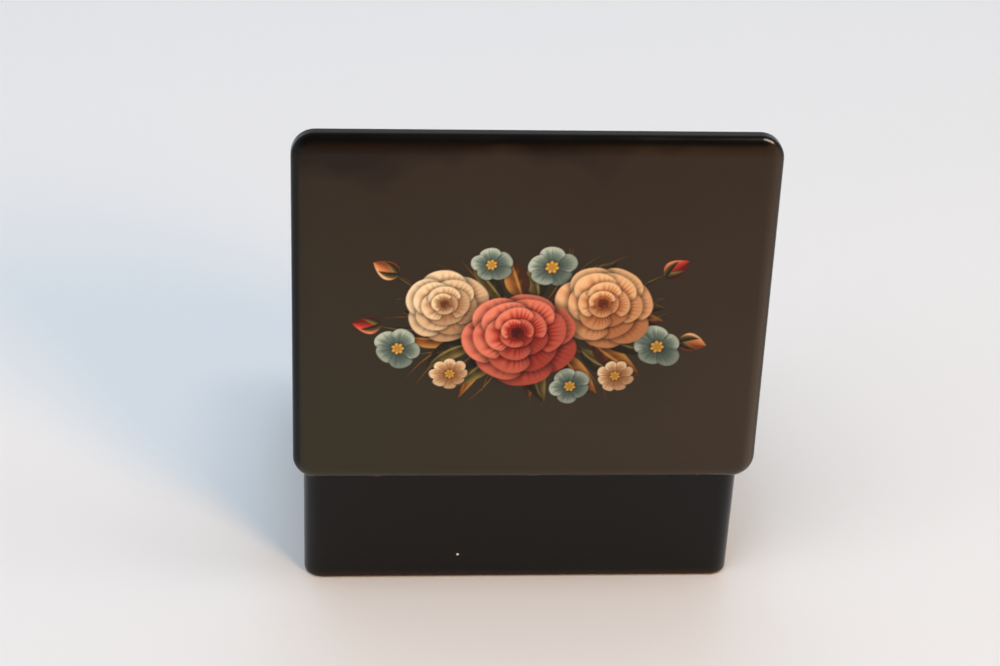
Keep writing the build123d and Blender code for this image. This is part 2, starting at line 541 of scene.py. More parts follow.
def filed_brass():
    """Sheet brass, cut and filed by hand: satin yellow metal with fine file lines and brown tarnish."""
    material, tree, place = new_material("sheet_brass_filed")
    colours = bpy.context.scene.box_colours
    lines = add_node(tree, "ShaderNodeMapping", {"Vector": place, "Scale": (ALONG_FILING, 1.0, 1.0)})
    filing = add_node(
        tree,
        "ShaderNodeTexNoise",
        {"Vector": lines.outputs["Vector"], "Scale": per_metre(FILE_WIDTH), "Detail": 2.0},
    )
    stain = add_node(
        tree, "ShaderNodeTexNoise", {"Vector": place, "Scale": per_metre(TARNISH_PATCH), "Detail": 4.0}
    )
    dull = add_node(
        tree, "ShaderNodeMapRange", {"Value": stain.outputs["Fac"], "From Min": 0.45, "From Max": 0.75}
    )
    metal = add_node(
        tree,
        "ShaderNodeMix",
        {FACTOR: dull.outputs[0], FIRST: rgba(colours.brass), SECOND: rgba(colours.tarnish)},
        data_type="RGBA",
    )
    clean, tarnished = BRASS_GLOSS
    rough = add_node(
        tree, "ShaderNodeMapRange", {"Value": stain.outputs["Fac"], "To Min": clean, "To Max": tarnished}
    )
    bump = add_node(
        tree,
        "ShaderNodeBump",
        {"Height": filing.outputs["Fac"], "Strength": 0.3, "Distance": FILE_DEPTH * MM},
    )
    shader = add_node(
        tree,
        "ShaderNodeBsdfPrincipled",
        {
            "Base Color": metal.outputs[MIXED],
            "Metallic": 1.0,
            "Roughness": rough.outputs["Result"],
            "Normal": bump.outputs["Normal"],
        },
    )
    add_node(tree, "ShaderNodeOutputMaterial", {"Surface": shader.outputs["BSDF"]})
    return material


# Size and depth of the paper's tooth, in millimetres
TOOTH_SIZE, TOOTH_DEPTH = 1.2, 0.05


def paper_floor():
    """Matt white paper: pale, with a faint tooth."""
    material, tree, place = new_material("white_paper_matt")
    tooth = add_node(
        tree, "ShaderNodeTexNoise", {"Vector": place, "Scale": per_metre(TOOTH_SIZE), "Detail": 3.0}
    )
    bump = add_node(
        tree,
        "ShaderNodeBump",
        {"Height": tooth.outputs["Fac"], "Strength": 0.05, "Distance": TOOTH_DEPTH * MM},
    )
    shader = add_node(
        tree,
        "ShaderNodeBsdfPrincipled",
        {
            "Base Color": rgba(bpy.context.scene.box_colours.floor),
            "Roughness": 0.9,
            "Specular IOR Level": 0.2,
            "Normal": bump.outputs["Normal"],
        },
    )
    add_node(tree, "ShaderNodeOutputMaterial", {"Surface": shader.outputs["BSDF"]})
    return material


FINISHES = {
    "black": black_lacquer,
    "red": red_lacquer,
    "ground": varnished_ground,
    "picture": varnished_picture,
    "brass": filed_brass,
    "paper": paper_floor,
}
made_finishes = {}


def finish(name):
    """One of the finishes, made when it is first asked for."""
    if name not in made_finishes:
        made_finishes[name] = FINISHES[name]()
    return made_finishes[name]


def closed_box(node):
    """Lowest and highest corner of one of the lid's CAD nodes, with the lid shut."""
    shut = OPENING.inverted()
    points = np.array([shut @ v.co for v in frame["nodes"][node].data.vertices])
    return Vector(points.min(0)), Vector(points.max(0))


def cavity_high():
    """The cavity's corner at +X and +Y, level with the rim."""
    wall = bpy.context.scene.box_sizes.wall
    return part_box("wall_tube")[1] - Vector((wall, wall, 0))


def make_active(piece):
    """Selects the piece alone."""
    bpy.ops.object.select_all(action="DESELECT")
    piece.select_set(True)
    bpy.context.view_layer.objects.active = piece


def select_none(mesh):
    """Deselects every point, edge and face of a mesh."""
    for part in (mesh.vertices, mesh.edges, mesh.polygons):
        part.foreach_set("select", [False] * len(part))


def block(name, low, high):
    """A box between two corners."""
    bpy.ops.object.select_all(action="DESELECT")
    bpy.ops.mesh.primitive_cube_add(size=1, location=(low + high) / 2, scale=high - low)
    bpy.ops.object.transform_apply(location=True, rotation=True, scale=True)
    piece = bpy.context.object
    piece.name = piece.data.name = name
    return piece


def round_edges(piece, chosen, radius, steps):
    """Rounds the edges that a test of their two ends chooses."""
    make_active(piece)
    mesh = piece.data
    select_none(mesh)
    for edge in mesh.edges:
        edge.select = chosen(*(mesh.vertices[i].co for i in edge.vertices))
    bpy.context.tool_settings.mesh_select_mode = (False, True, False)
    bpy.ops.object.mode_set(mode="EDIT")
    bpy.ops.mesh.bevel(offset=radius, segments=steps, affect="EDGES", clamp_overlap=False)
    bpy.ops.object.mode_set(mode="OBJECT")


def upright(a, b):
    """A test for edges that stand upright."""
    return abs(a.z - b.z) > (a - b).xy.length


def inside(point, corner):
    """Whether a point lies no further out than a corner, seen from above."""
    return abs(point.x) < corner.x + NEAR and abs(point.y) < corner.y + NEAR


def level_at(height, within=None):
    """A test for edges that lie at a height and, where a corner is given, no further out than that."""

    def chosen(*ends):
        near = within is None or all(inside(p, within) for p in ends)
        return near and all(abs(p.z - height) < NEAR for p in ends)

    return chosen


def cut(piece, cutter):
    """Cuts the cutter out of the piece."""
    make_active(piece)
    modifier = piece.modifiers.new("cut", "BOOLEAN")
    modifier.operation = "DIFFERENCE"
    modifier.solver = "EXACT"
    modifier.object = cutter
    bpy.ops.object.modifier_apply(modifier=modifier.name)
    bpy.data.meshes.remove(cutter.data)


def split(piece, point, across):
    """Adds a line of points all round the piece, on a plane across a direction."""
    make_active(piece)
    bpy.ops.object.mode_set(mode="EDIT")
    bpy.ops.mesh.select_all(action="SELECT")
    bpy.ops.mesh.bisect(plane_co=point, plane_no=across)
    bpy.ops.object.mode_set(mode="OBJECT")


def let_in_hinges(piece, leaves, box_of, face):
    """Cuts a recess for each hinge leaf into a face at a height, and a groove for its barrel."""
    sizes = bpy.context.scene.box_sizes
    for leaf in leaves:
        low, high = box_of(leaf)
        recess_low = Vector((low.x - sizes.leaf_fit, low.y - sizes.leaf_fit, face - sizes.leaf))
        recess_high = Vector((high.x + sizes.leaf_fit, high.y + sizes.barrel_room, face + sizes.leaf))
        cut(piece, block("recess", recess_low, recess_high))
        bpy.ops.object.select_all(action="DESELECT")
        bpy.ops.mesh.primitive_cylinder_add(
            vertices=GROOVE_STEPS,
            radius=high.y - PIVOT.y + sizes.barrel_room,
            depth=high.x - low.x + 2 * (sizes.pin_end + sizes.barrel_room),
            location=((low.x + high.x) / 2, PIVOT.y, PIVOT.z),
            rotation=(0, math.pi / 2, 0),
        )
        cut(piece, bpy.context.object)


def colour_faces(piece, finishes, choose):
    """Gives the piece its finishes. The test returns a face's finish from the face's centre and normal."""
    for name in finishes:
        piece.data.materials.append(finish(name))
    for face in piece.data.polygons:
        face.material_index = finishes.index(choose(face.center, face.normal))


def set_points(piece, name, value):
    """Stores a number for each point of the piece."""
    mesh = piece.data
    attribute = mesh.attributes.new(name, "FLOAT", "POINT")
    attribute.data.foreach_set("value", [value(v.co) for v in mesh.vertices])


def smooth(piece):
    """Smooth rounds between flat faces."""
    make_active(piece)
    bpy.ops.object.shade_smooth_by_angle(angle=SMOOTH_BELOW)
    modifier = piece.modifiers.new("normals", "WEIGHTED_NORMAL")
    modifier.keep_sharp = True
    bpy.ops.object.modifier_apply(modifier=modifier.name)


def swing_open(piece):
    """Turns a piece that was shaped on the shut lid to where the open lid holds it."""
    make_active(piece)
    piece.matrix_world = OPENING
    bpy.ops.object.transform_apply(location=True, rotation=True, scale=True)


def settle(piece, body, slot, *nodes):
    """Sets what the piece moves with, the slot of its finish and the CAD nodes that it stands for."""
    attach(piece, body)
    if nodes:
        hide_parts(*nodes)


def build_walls():
    """A rounded block, hollowed out, rebated for the base and recessed for the hinges."""
    sizes = bpy.context.scene.box_sizes
    low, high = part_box("wall_tube")
    base_low, base_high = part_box("base_board")
    inner = cavity_high()
    through = Vector((0, 0, sizes.wall))
    walls = block("walls", low, high)
    round_edges(walls, upright, sizes.wall_corner, CORNER_STEPS)
    round_edges(walls, level_at(low.z), sizes.foot_round, FINE_STEPS)
    round_edges(walls, level_at(high.z), sizes.rim_round, FINE_STEPS)
    cavity = block("cavity", Vector((-inner.x, -inner.y, low.z)) - through, inner + through)
    round_edges(cavity, upright, sizes.cavity_corner, CORNER_STEPS)
    cut(walls, cavity)
    gap = Vector((sizes.glue_gap, sizes.glue_gap, 0))
    rebate = block("rebate", base_low - gap - through, base_high + gap)
    round_edges(rebate, upright, sizes.cavity_corner + base_high.x + sizes.glue_gap - inner.x, CORNER_STEPS)
    cut(walls, rebate)
    round_edges(walls, level_at(high.z, within=inner), sizes.rim_round, FINE_STEPS)
    let_in_hinges(walls, BODY_LEAVES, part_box, high.z)

    red_top = high.z - sizes.rim_round

    def choose(centre, normal):
        return "red" if inside(centre, inner) and base_high.z < centre.z < red_top else "black"

    colour_faces(walls, ("black", "red"), choose)
    worn_top = FOOT_WEAR_HEIGHT * sizes.foot_round
    split(walls, (0, 0, worn_top), (0, 0, 1))
    set_points(walls, "wear", lambda p: FOOT_WEAR * max(0.0, 1 - (p.z - low.z) / worn_top))
    smooth(walls)
    settle(walls, "body", "black_lacquer", "wall_tube")


def build_base():
    """A board with an eased lower edge, red where it faces up into the box."""
    sizes = bpy.context.scene.box_sizes
    low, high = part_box("base_board")
    base = block("base", low, high)
    round_edges(base, upright, sizes.cavity_corner + high.x - cavity_high().x, CORNER_STEPS)
    round_edges(base, level_at(low.z), sizes.base_easing, FINE_STEPS)
    colour_faces(base, ("black", "red"), lambda centre, normal: "red" if normal.z > FACES_UP else "black")
    set_points(base, "wear", lambda p: 0.0)
    smooth(base)
    settle(base, "body", "red_lacquer", "base_board")


def roll_over(piece, width, drop, steps):
    """Raises the top face in ever narrower steps, so that its edge rolls over on a quarter of an ellipse."""
    make_active(piece)
    highest = max(v.co.z for v in piece.data.vertices)
    select_none(piece.data)
    for face in piece.data.polygons:
        face.select = face.center.z > highest - NEAR
    bpy.context.tool_settings.mesh_select_mode = (False, False, True)
    bpy.ops.object.mode_set(mode="EDIT")
    turns = np.linspace(0, math.pi / 2, steps + 1)
    for inward, upward in zip(np.diff(-np.cos(turns)), np.diff(np.sin(turns))):
        bpy.ops.mesh.inset(thickness=width * inward, depth=drop * upward)
    bpy.ops.object.mode_set(mode="OBJECT")


def mark_lid(lid, low, high):
    """Stores where the lid is glazed, rubbed and worn. The glaze is rubbed thinnest near the hinges."""
    sizes = bpy.context.scene.box_sizes
    roll, drop = sizes.lid_roll, sizes.lid_roll_drop

    def on_roll(inward):
        """0 where the roll starts, and 1 on its outer half."""
        return ramp(roll, 0.5 * roll, inward)

    def painted(p):
        reach = GLAZE_REACH + GLAZE_FURTHER * on_roll(min(p.x - low.x, high.y - p.y))
        return ramp(reach, reach - GLAZE_FADE, (high.z - p.z) / drop)

    # Painted sheen: a lighter strip on the -X roll in place of a band of light, strongest near the hinges
    def rubbed(p):
        return bell(p.x - low.x, SHEEN_MIDDLE * roll, SHEEN_HALF * roll) * ramp(2 * low.y, high.y, p.y)

    def worn(p):
        at_hinges = on_roll(high.y - p.y) * bell(high.z - p.z, CHIP_MIDDLE * drop, CHIP_HALF * drop)
        return at_hinges * max(CHIP_WEAR * bell(p.x / MM, place, half) for place, half in CHIPS)

    set_points(lid, "painted", painted)
    set_points(lid, "rubbed", rubbed)
    set_points(lid, "wear", worn)


def build_lid():
    """A rounded board whose upper edge rolls over, recessed for the hinges and chipped along their edge."""
    sizes = bpy.context.scene.box_sizes
    low, high = closed_box("lid_board")
    lid = block("lid", low, high - Vector((0, 0, sizes.lid_roll_drop)))
    round_edges(lid, upright, sizes.lid_corner, CORNER_STEPS)
    round_edges(lid, level_at(low.z), sizes.lid_under_round, FINE_STEPS)
    roll_over(lid, sizes.lid_roll, sizes.lid_roll_drop, ROLL_STEPS)
    let_in_hinges(lid, LID_LEAVES, closed_box, low.z)
    for place, half in CHIPS:
        for offset in (-half, 0, half):
            split(lid, ((place + offset) * MM, 0, 0), (1, 0, 0))
    colour_faces(lid, ("ground",), lambda centre, normal: "ground")
    mark_lid(lid, low, high)
    swing_open(lid)
    smooth(lid)
    settle(lid, "lid", "black_lacquer", "lid_board")


def build_locating_panel():
    """A red board with a rounded lower edge."""
    sizes = bpy.context.scene.box_sizes
    low, high = closed_box("lid_insert")
    panel = block("locating_panel", low, high)
    round_edges(panel, upright, sizes.cavity_corner, CORNER_STEPS)
    round_edges(panel, level_at(low.z), sizes.panel_round, FINE_STEPS)
    colour_faces(panel, ("red",), lambda centre, normal: "red")
    swing_open(panel)
    smooth(panel)
    settle(panel, "lid", "red_lacquer", "lid_insert")


def dress_hinges():
    """Brass on the leaves, pins and nails."""
    for node in BRASS_NODES:
        for slot in frame["nodes"][node].material_slots:
            slot.material = finish("brass")


# The spray is painted in millimetres, x to the right and y up as it is looked at, with each palette from its
# deepest tone to its palest
PALETTES = {
    "coral": ("#5c120e", "#bf3a28", "#ea8a70"),
    "peach": ("#7a381a", "#d08751", "#f1c796"),
    "cream": ("#7a4a2b", "#cb9f72", "#efd9b4"),
    "blue": ("#34423f", "#74897f", "#b9c6b8"),
    "gold": ("#3d2110", "#84501f", "#c08c45"),
    "olive": ("#211b0d", "#514521", "#918148"),
}
EYE_COLOUR = "#dba845"

# Where the painted light comes from, as a turn from the right over the top
LIGHT = math.radians(125)

# Middle, radius, palette and how many petals each ring has, from the outside in
ROSES = (
    (-18.0, 4.5, 9.0, "cream", (6, 5, 4, 3)),
    (15.0, 4.5, 10.4, "peach", (7, 6, 5, 3)),
    (-2.5, -2.5, 12.0, "coral", (7, 6, 5, 4)),
)
# Middle, radius, palette and how many petals
BLOSSOMS = (
    (3.5, 14.0, 5.4, "blue", 5),
    (-9.0, 14.5, 4.4, "blue", 5),
    (26.5, -4.5, 5.4, "blue", 5),
    (-28.0, -5.0, 5.0, "blue", 5),
    (8.5, -14.0, 4.6, "blue", 5),
    (-17.0, -11.0, 4.0, "cream", 8),
    (18.0, -11.5, 4.0, "cream", 8),
)
# Root, heading in degrees and palette
BUDS = (
    (27.0, 12.0, 35, "coral"),
    (-28.0, 12.0, 150, "peach"),
    (31.0, -3.0, -12, "peach"),
    (-31.5, 0.5, 176, "coral"),
)
# Length of a bud's stem, and how many grasses and leaves there are
BUD_STEM = 9
GRASSES = 34
LEAVES = 22

# The haze behind the spray, and how far it covers the ground
HAZE_HALF_WIDTH, HAZE_HALF_HEIGHT = 30, 15
HAZE_COVER = 0.45

# Soft edge of petals and strokes, in distances between points
SOFT_EDGE = 0.7

# Least half width and least cover that are divided by
LEAST_HALF = 1e-6
LEAST_COVER = 1e-4

# A petal: how far its rim falls back at the sides and how suddenly, how closely the rim waves, how dark a
# shadow it casts, and how strong and how close its brush streaks are
RIM_FALL, RIM_TURN, RIM_WAVES = 0.22, 2.6, 2.6
PETAL_SHADOW = 0.6
STREAK, STREAKS = 0.09, 23

# How much wider than its share of the ring a petal is
ROSE_OVERLAP = 1.45
BLOSSOM_OVERLAP = 1.12

# A rose: the turn from ring to ring, the power by which rings grow smaller, how far in radii the heart of the
# inner rings shifts towards the light, and where in radii the shade behind it ends and where it is full
RING_TURN = 0.9
RING_POWER = 0.85
HEART_SHIFT_X, HEART_SHIFT_Y = 0.1, 0.16
ROSE_SHADE = (0.8, 0.55)

# A blossom's eye, in radii of the flower: where its shade, its disc and a dot end and where they are full,
# and the ring that the dots stand on
EYE_SHADE = (0.34, 0.2)
EYE_DISC = (0.24, 0.12)
EYE_DOT = (0.09, 0.03)
EYE_RING = 0.2
EYE_DOTS = 7


def blend(first, second, share):
    """Two colours mixed by a share for each point."""
    return first + (second - first) * np.asarray(share)[..., None]


class Canvas:
    """Paint on a grid of points: its colour, times how far it covers the ground."""

    def __init__(self, x, y, edge):
        self.x, self.y, self.edge = x, y, edge
        self.paint = np.zeros(x.shape + (3,))
        self.cover = np.zeros(x.shape)

    def window(self, x, y, reach):
        """The part of the grid within reach of a point."""
        rows = np.nonzero(np.abs(self.y[:, 0] - y) < reach)[0]
        columns = np.nonzero(np.abs(self.x[0] - x) < reach)[0]
        return slice(rows[0], rows[-1] + 1), slice(columns[0], columns[-1] + 1)

    def spot(self, part, x, y, radius, fade):
        """1 close to a point and 0 further out. The fade gives where it is 0 and where it is 1, in radii."""
        end, full = fade
        return ramp(radius * end, radius * full, np.hypot(self.x[part] - x, self.y[part] - y))

    def turned(self, part, x, y, turn):
        """How far a part of the grid lies from a point, along a direction and to the left of it."""
        dx, dy = self.x[part] - x, self.y[part] - y
        return dx * np.cos(turn) + dy * np.sin(turn), dy * np.cos(turn) - dx * np.sin(turn)

    def lay(self, part, mask, paint):
        """Covers a part of the grid with paint, as far as the mask says."""
        self.paint[part] = self.paint[part] * (1 - mask[..., None]) + paint * mask[..., None]
        self.cover[part] = self.cover[part] * (1 - mask) + mask

    def shade(self, part, mask):
        """Darkens what is painted already."""
        self.paint[part] *= 1 - mask[..., None]


class Heart(NamedTuple):
    """Where a flower's petals meet, how far it is foreshortened and which way it leans."""

    x: float
    y: float
    squash: float
    lean: float


def paint_petal(canvas, heart, turn, half, reach, tones, lit, root, wave):
    """One petal as a fan about a flower's heart: dark at its root, pale along its rim, with fine streaks.
    Half is the angle that it spans to either side of its turn. Root and wave are shares of its reach."""
    part = canvas.window(heart.x, heart.y, reach * 1.3)
    u, v = canvas.turned(part, heart.x, heart.y, heart.lean)
    v = v / heart.squash
    distance = np.hypot(u, v)
    # From -1 to 1 across the petal, and from 0 at the heart to 1 at the rim
    side = ((np.arctan2(v, u) - turn + np.pi) % TAU - np.pi) / half
    rim = reach * (1 - RIM_FALL * np.abs(side) ** RIM_TURN + wave * np.sin(RIM_WAVES * side + 9 * turn))
    out = distance / rim
    # A shadow on what lies behind the rim
    shadow = ramp(0.2 * reach, -0.02 * reach, distance - rim) * ramp(1.3, 0.9, np.abs(side))
    canvas.shade(part, PETAL_SHADOW * shadow * ramp(0.5, 0.7, out))
    # The body, the pale rim and the shaded side, each stronger or weaker with the light
    deep, middle, pale = tones
    streak = STREAK * np.sin(STREAKS * side + 5 * np.sin(3 * side + turn)) * ramp(0.2, 0.6, out)
    paint = blend(deep, middle, ramp(0.15, 0.85, out + streak) * (0.4 + 0.6 * lit))
    paint = blend(paint, pale, ramp(0.62, 0.97, out + 0.7 * streak + 0.05 * side) * (0.12 + 0.88 * lit))
    paint = blend(paint, deep * 0.7, 0.6 * ramp(0.55, 1.0, side) * (1 - 0.6 * lit))
    within = ramp(canvas.edge, -canvas.edge, distance - rim) * ramp(1.06, 0.94, np.abs(side))
    canvas.lay(part, within * ramp(root - 0.05, root + 0.05, distance / reach), paint)


def paint_rose(canvas, x, y, radius, tones, rings, rng):
    """A full rose: rings of petals from the outside in, about a heart that lies a little off the middle."""
    deep, middle = tones[:2]
    squash, lean, start = rng.uniform(0.9, 0.96), rng.uniform(-0.3, 0.3), rng.uniform(0, 1)
    part = canvas.window(x, y, radius)
    canvas.lay(part, canvas.spot(part, x, y, radius, ROSE_SHADE), deep * 0.5)
    for ring, count in enumerate(rings):
        share = ring / len(rings)
        reach = radius * (1 - share) ** RING_POWER
        heart = Heart(
            x + HEART_SHIFT_X * radius * share * np.cos(LIGHT),
            y + HEART_SHIFT_Y * radius * share * np.sin(LIGHT),
            squash,
            lean,
        )
        start += RING_TURN
        shaded_first = sorted(range(count), key=lambda i: np.cos(start + TAU * i / count - LIGHT))
        for i in shaded_first:
            turn = start + TAU * (i + rng.uniform(-0.12, 0.12)) / count
            lit = 0.5 + 0.5 * np.cos(turn - LIGHT)
            size = reach * rng.uniform(0.93, 1.05)
            half = np.pi / count * ROSE_OVERLAP
            paint_petal(canvas, heart, turn, half, size, tones, lit, root=0.12, wave=0.035)
    core = (deep * 0.5, deep, middle)
    paint_petal(canvas, heart, LIGHT, np.pi * 0.8, reach * 0.55, core, lit=0.4, root=0.0, wave=0.0)


def paint_blossom(canvas, x, y, radius, tones, count, rng):
    """A small open flower: one ring of rounded petals and a dotted eye."""
    heart = Heart(x, y, squash=rng.uniform(0.84, 0.92), lean=rng.uniform(-0.5, 0.5))
    start = rng.uniform(0, TAU)
    for i in range(count):
        turn = start + TAU * i / count
        lit = 0.55 + 0.45 * np.cos(turn - LIGHT)
        size = radius * rng.uniform(0.9, 1.08)
        half = np.pi / count * BLOSSOM_OVERLAP
        paint_petal(canvas, heart, turn, half, size, tones, lit, root=0.1, wave=0.03)

    eye = linear(EYE_COLOUR)
    part = canvas.window(x, y, radius)
    canvas.lay(part, 0.9 * canvas.spot(part, x, y, radius, EYE_SHADE), tones[0] * 0.4)
    canvas.lay(part, canvas.spot(part, x, y, radius, EYE_DISC), eye * 0.6)
    for i in range(EYE_DOTS):
        turn = start + TAU * i / EYE_DOTS
        dot_x, dot_y = x + EYE_RING * radius * np.cos(turn), y + EYE_RING * radius * np.sin(turn)
        canvas.lay(part, canvas.spot(part, dot_x, dot_y, radius, EYE_DOT), eye)


def paint_stroke(canvas, x, y, turn, reach, width, bow, tones, point, vein=0.0, opacity=1.0):
    """A leaf, stem or blade of grass: one bowed stroke, light on one side of its rib and dark on the other.
    The smaller its point, the nearer to its root it is widest."""
    part = canvas.window(x, y, reach * 1.15 + width)
    along, across = canvas.turned(part, x, y, turn)
    # From 0 at the root to 1 at the tip, and from -1 to 1 across the stroke on either side of its bowed rib
    along = along / reach
    inner = np.clip(along, 0, 1)
    across = across - bow * reach * 4 * inner * (1 - inner)
    half = width / 2 * np.sin(np.pi * inner**point) ** 0.8
    side = across / np.maximum(half, LEAST_HALF)
    # The body with its side veins, the light along one edge, and the rib
    deep, middle, pale = tones
    paint = blend(deep, middle, ramp(-0.5, 0.6, side + 0.3 * np.sin(26 * along - 5 * np.abs(side)) * vein))
    edge_light = ramp(0.35, 1.0, side) * ramp(0.05, 0.35, along) * ramp(1.0, 0.6, along)
    paint = blend(paint, pale, 0.8 * edge_light)
    if vein:
        paint = blend(paint, pale, 0.8 * ramp(0.16, 0.04, np.abs(side)) * ramp(1.0, 0.5, along))
    within = ramp(canvas.edge, -canvas.edge, np.abs(across) - half)
    canvas.lay(part, opacity * (within * ramp(0.0, 0.02, along) * ramp(1.0, 0.98, along)), paint)


def paint_haze(canvas, tone):
    """A soft shade on the ground behind the spray."""
    haze = np.exp(-((canvas.x / HAZE_HALF_WIDTH) ** 2 + (canvas.y / HAZE_HALF_HEIGHT) ** 2) ** 1.5)
    canvas.lay((slice(None), slice(None)), HAZE_COVER * haze, tone * 1.4)


def fan(rng, count, half_width, half_height, rise, stray):
    """Roots on an oval round the middle of the spray, unevenly spaced, with the headings of what grows there.
    The last value is 1 where that lies at the sides and 0 above and below the middle."""
    for i in range(count):
        turn = TAU * (i + rng.uniform(-0.3, 0.3)) / count
        heading = np.arctan2(rise * np.sin(turn), np.cos(turn)) + rng.uniform(-stray, stray)
        yield i, half_width * np.cos(turn), half_height * np.sin(turn), heading, abs(np.cos(turn))


def paint_grasses(canvas, tones, rng):
    """Thin blades all round the spray, longest at its sides."""
    for i, x, y, heading, at_side in fan(rng, GRASSES, half_width=12, half_height=5, rise=0.8, stray=0.3):
        reach, width = rng.uniform(12, 15) + 5 * at_side, 0.6
        bow = rng.uniform(-0.16, 0.16)
        blade = tones["gold" if i % 3 else "olive"]
        paint_stroke(canvas, x, y, heading, reach, width, bow, blade, point=0.6, opacity=0.8)


def paint_leaves(canvas, tones, rng):
    """Veined leaves all round the spray, longest at its sides."""
    for i, x, y, heading, at_side in fan(rng, LEAVES, half_width=15, half_height=7, rise=0.75, stray=0.35):
        reach, width = rng.uniform(9, 12) + 2 * at_side, rng.uniform(3.8, 5.2)
        bow = rng.uniform(-0.13, 0.13)
        leaf = tones["olive" if i % 2 else "gold"]
        paint_stroke(canvas, x, y, heading, reach, width, bow, leaf, point=0.75, vein=0.6)


def paint_bud(canvas, x, y, turn, tones, green):
    """A closed bud on its stem, between two sepals."""
    stem_x, stem_y = x - BUD_STEM * np.cos(turn), y - BUD_STEM * np.sin(turn)
    stem_reach = BUD_STEM + 1
    paint_stroke(canvas, stem_x, stem_y, turn, stem_reach, width=0.7, bow=0.05, tones=green, point=0.6)
    paint_stroke(canvas, x, y, turn, reach=6, width=4.2, bow=0.02, tones=tones, point=0.7)
    for way in (-1, 1):
        sepal = turn + 0.28 * way
        paint_stroke(canvas, x, y, sepal, reach=4.4, width=1.5, bow=0.1 * way, tones=green, point=0.6)


def paint_spray(x, y, spacing, seed):
    """The whole spray on a grid of points: haze, grasses, leaves, buds, small blossoms and three roses."""
    canvas = Canvas(x, y, SOFT_EDGE * spacing)
    rng = np.random.default_rng(seed)
    tones = {name: [linear(tone) for tone in palette] for name, palette in PALETTES.items()}
    paint_haze(canvas, tones["olive"][0])
    paint_grasses(canvas, tones, rng)
    paint_leaves(canvas, tones, rng)
    for root_x, root_y, degrees, name in BUDS:
        paint_bud(canvas, root_x, root_y, math.radians(degrees), tones[name], tones["olive"])
    for flower_x, flower_y, radius, name, count in BLOSSOMS:
        paint_blossom(canvas, flower_x, flower_y, radius, tones[name], count, rng)
    for flower_x, flower_y, radius, name, rings in ROSES:
        paint_rose(canvas, flower_x, flower_y, radius, tones[name], rings, rng)
    # What lies nearer to the light is a little brighter
    canvas.paint *= (0.95 + 0.006 * (x * np.cos(LIGHT) + y * np.sin(LIGHT)))[..., None]
    return canvas


def spray_slab(middle, top, columns, rows):
    """A closed slab that stands one film proud of the lid's top, with a grid of points on its upper side."""
    settings = bpy.context.scene.box_spray
    bpy.ops.object.select_all(action="DESELECT")
    bpy.ops.mesh.primitive_grid_add(
        x_subdivisions=columns,
        y_subdivisions=rows,
        size=1,
        location=(middle.x, middle.y, top + settings.film),
    )
    spray = bpy.context.object
    spray.scale = (settings.width, settings.height, 1)
    bpy.ops.object.transform_apply(location=True, rotation=True, scale=True)
    spray.name = spray.data.name = "flower_spray"
    bpy.context.tool_settings.mesh_select_mode = (False, True, False)
    bpy.ops.object.mode_set(mode="EDIT")
    bpy.ops.mesh.select_all(action="DESELECT")
    bpy.ops.mesh.select_non_manifold()
    bpy.ops.mesh.extrude_edges_move(TRANSFORM_OT_translate={"value": (0, 0, -2 * settings.film)})
    bpy.ops.mesh.edge_face_add()
    bpy.ops.object.mode_set(mode="OBJECT")
    return spray


def build_flower_spray():
    """The paint on the lid, as a thin slab whose points hold its colours."""
    settings = bpy.context.scene.box_spray
    low, high = closed_box("lid_board")
    middle = (low + high) / 2 + Vector((0, settings.drop, 0))
    columns, rows = round(settings.width / settings.spacing), round(settings.height / settings.spacing)
    spray = spray_slab(middle, high.z, columns, rows)

    mesh = spray.data
    points = np.empty((len(mesh.vertices), 3))
    mesh.vertices.foreach_get("co", points.ravel())
    field = np.array((settings.width, settings.height)) / MM
    half_width, half_height = field / 2
    x, y = np.meshgrid(
        np.linspace(-half_width, half_width, columns + 1), np.linspace(-half_height, half_height, rows + 1)
    )
    canvas = paint_spray(x, y, settings.spacing / MM, settings.seed)
    # The spray is seen upright from the hinge side, half a turn from the lid's own axes
    place = (np.array(middle.xy) - points[:, :2]) / MM + field / 2
    column, row = np.rint(place / (settings.spacing / MM)).astype(int).T
    cover = canvas.cover[row, column]
    values = np.empty((len(points), 4), np.float32)
    values[:, :3] = canvas.paint[row, column] / np.maximum(cover, LEAST_COVER)[:, None]
    values[:, 3] = np.where(points[:, 2] > high.z, cover, 0)
    paint = mesh.color_attributes.new("paint", "FLOAT_COLOR", "POINT")
    paint.data.foreach_set("color", values.ravel())
    mesh.materials.append(finish("picture"))
    swing_open(spray)
    settle(spray, "lid", "black_lacquer")


# The floor's radius, in metres, and how many sides it has
FLOOR_RADIUS = 4.0
FLOOR_SIDES = 96

# The dim part of the sky, in degrees: round and up to its middle, and from there to its end and to where it
# is dimmest
DIM_HEADING = (0, 58)
DIM_END, DIM_FULL = 66, 38

# The sky is brighter near the horizon: by how much, and the heights where that starts and stops to fade
HORIZON_GLOW = 2.5
GLOW_HEIGHTS = (0.1, 0.5)

# Lamps: name, degrees round and up to it, width and height in metres, and the names of its power and colour
LAMP_DISTANCE = 2.0
LAMPS = (
    ("right_window", (84, 56), (0.6, 1.2), "window", "window"),
    ("soft_right", (74, 53), (0.6, 0.6), "right", "fill"),
    ("warm_key", (37, 30), (0.5, 0.5), "key", "key"),
    ("soft_top", (0, 90), (1.8, 1.8), "top", "daylight"),
    ("soft_left", (-45, 50), (1.3, 1.3), "left", "fill"),
    ("soft_far", (180, 50), (1.3, 1.3), "far", "shade"),
)
GLOSS_LAMP = "right_window"

# What is nearer to the camera than this isn't seen
CLIP_START = 0.01


def heading_to(degrees_round, degrees_up):
    """A direction: degrees from the back towards the right, as the camera sees it, and up from the floor."""
    turn, lift = math.radians(degrees_round), math.radians(degrees_up)
    return Vector((-math.sin(turn) * math.cos(lift), math.cos(turn) * math.cos(lift), math.sin(lift)))


